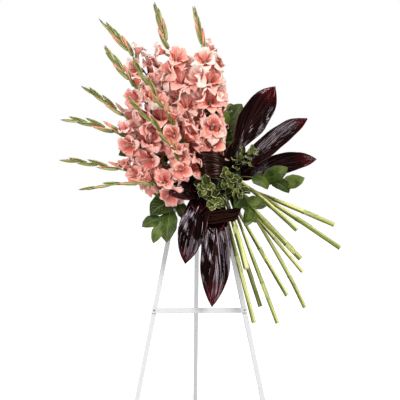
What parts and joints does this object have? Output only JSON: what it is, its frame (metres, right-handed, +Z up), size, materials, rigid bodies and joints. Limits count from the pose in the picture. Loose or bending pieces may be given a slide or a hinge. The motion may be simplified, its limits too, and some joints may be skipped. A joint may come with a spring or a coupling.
{
  "type": "standing funeral spray",
  "caption": "One-sided fan of gladiolus, ti leaves, salal and pittosporum in wet foam on a folding wooden easel, with bare cut stems fanned out below.",
  "frame": {"origin": "on the floor, at the middle of the bounding box's bottom face", "axes": "+Z up, -Y towards the viewer of the flowers, +X to that viewer's right"},
  "size_m": [1.108, 0.9362, 1.8399],
  "materials": {
    "white_wood": "satin",
    "zinc_steel": "satin",
    "tray_plastic": "matte",
    "wet_foam": "matte",
    "gladiolus": "satin",
    "cut_stem": "satin",
    "ti_leaf": "gloss",
    "salal_leaf": "satin",
    "pittosporum_leaf": "satin"
  },
  "bodies": {
    "front_frame": {"easel_leg_left": "white_wood", "easel_leg_right": "white_wood", "easel_rail": "white_wood", "rail_screw_left": "zinc_steel", "rail_screw_right": "zinc_steel", "pivot_bolt": "zinc_steel", "pivot_nut": "zinc_steel", "washer_outer": "zinc_steel", "washer_left": "zinc_steel", "washer_right": "zinc_steel", "foam_tray": "tray_plastic", "foam_block": "wet_foam", "wire_tie_left": "zinc_steel", "wire_tie_right": "zinc_steel", "gladiolus_top": "gladiolus", "gladiolus_top_right": "gladiolus", "gladiolus_upper_left": "gladiolus", "gladiolus_left_high": "gladiolus", "gladiolus_front_high": "gladiolus", "gladiolus_left_mid": "gladiolus", "gladiolus_front_low": "gladiolus", "gladiolus_left": "gladiolus", "gladiolus_left_low": "gladiolus", "gladiolus_bottom": "gladiolus", "stem_1": "cut_stem", "stem_2": "cut_stem", "stem_3": "cut_stem", "stem_4": "cut_stem", "stem_5": "cut_stem", "stem_6": "cut_stem", "stem_7": "cut_stem", "stem_8": "cut_stem", "stem_9": "cut_stem", "stem_10": "cut_stem", "stem_11": "cut_stem", "ti_leaf_upright": "ti_leaf", "ti_leaf_right_high": "ti_leaf", "ti_leaf_right": "ti_leaf", "ti_leaf_down": "ti_leaf", "ti_leaf_down_left": "ti_leaf", "ti_leaf_left": "ti_leaf", "ti_leaf_roll": "ti_leaf", "ti_leaf_band": "ti_leaf", "salal_upright": "salal_leaf", "salal_right": "salal_leaf", "salal_lower_right": "salal_leaf", "salal_lower_left": "salal_leaf", "salal_left": "salal_leaf", "pittosporum_centre": "pittosporum_leaf", "pittosporum_left": "pittosporum_leaf", "pittosporum_low": "pittosporum_leaf", "pittosporum_right": "pittosporum_leaf", "pittosporum_high": "pittosporum_leaf"},
    "rear_leg": {"easel_leg_rear": "white_wood"}
  },
  "joints": [
    {"name": "rear_leg_fold", "type": "hinge", "parent": "front_frame", "child": "rear_leg", "pos_m": [-0.006, -0.02352, 1.4], "axis": [-1, 0, 0], "range_deg": [0, 30.5]}
  ]
}
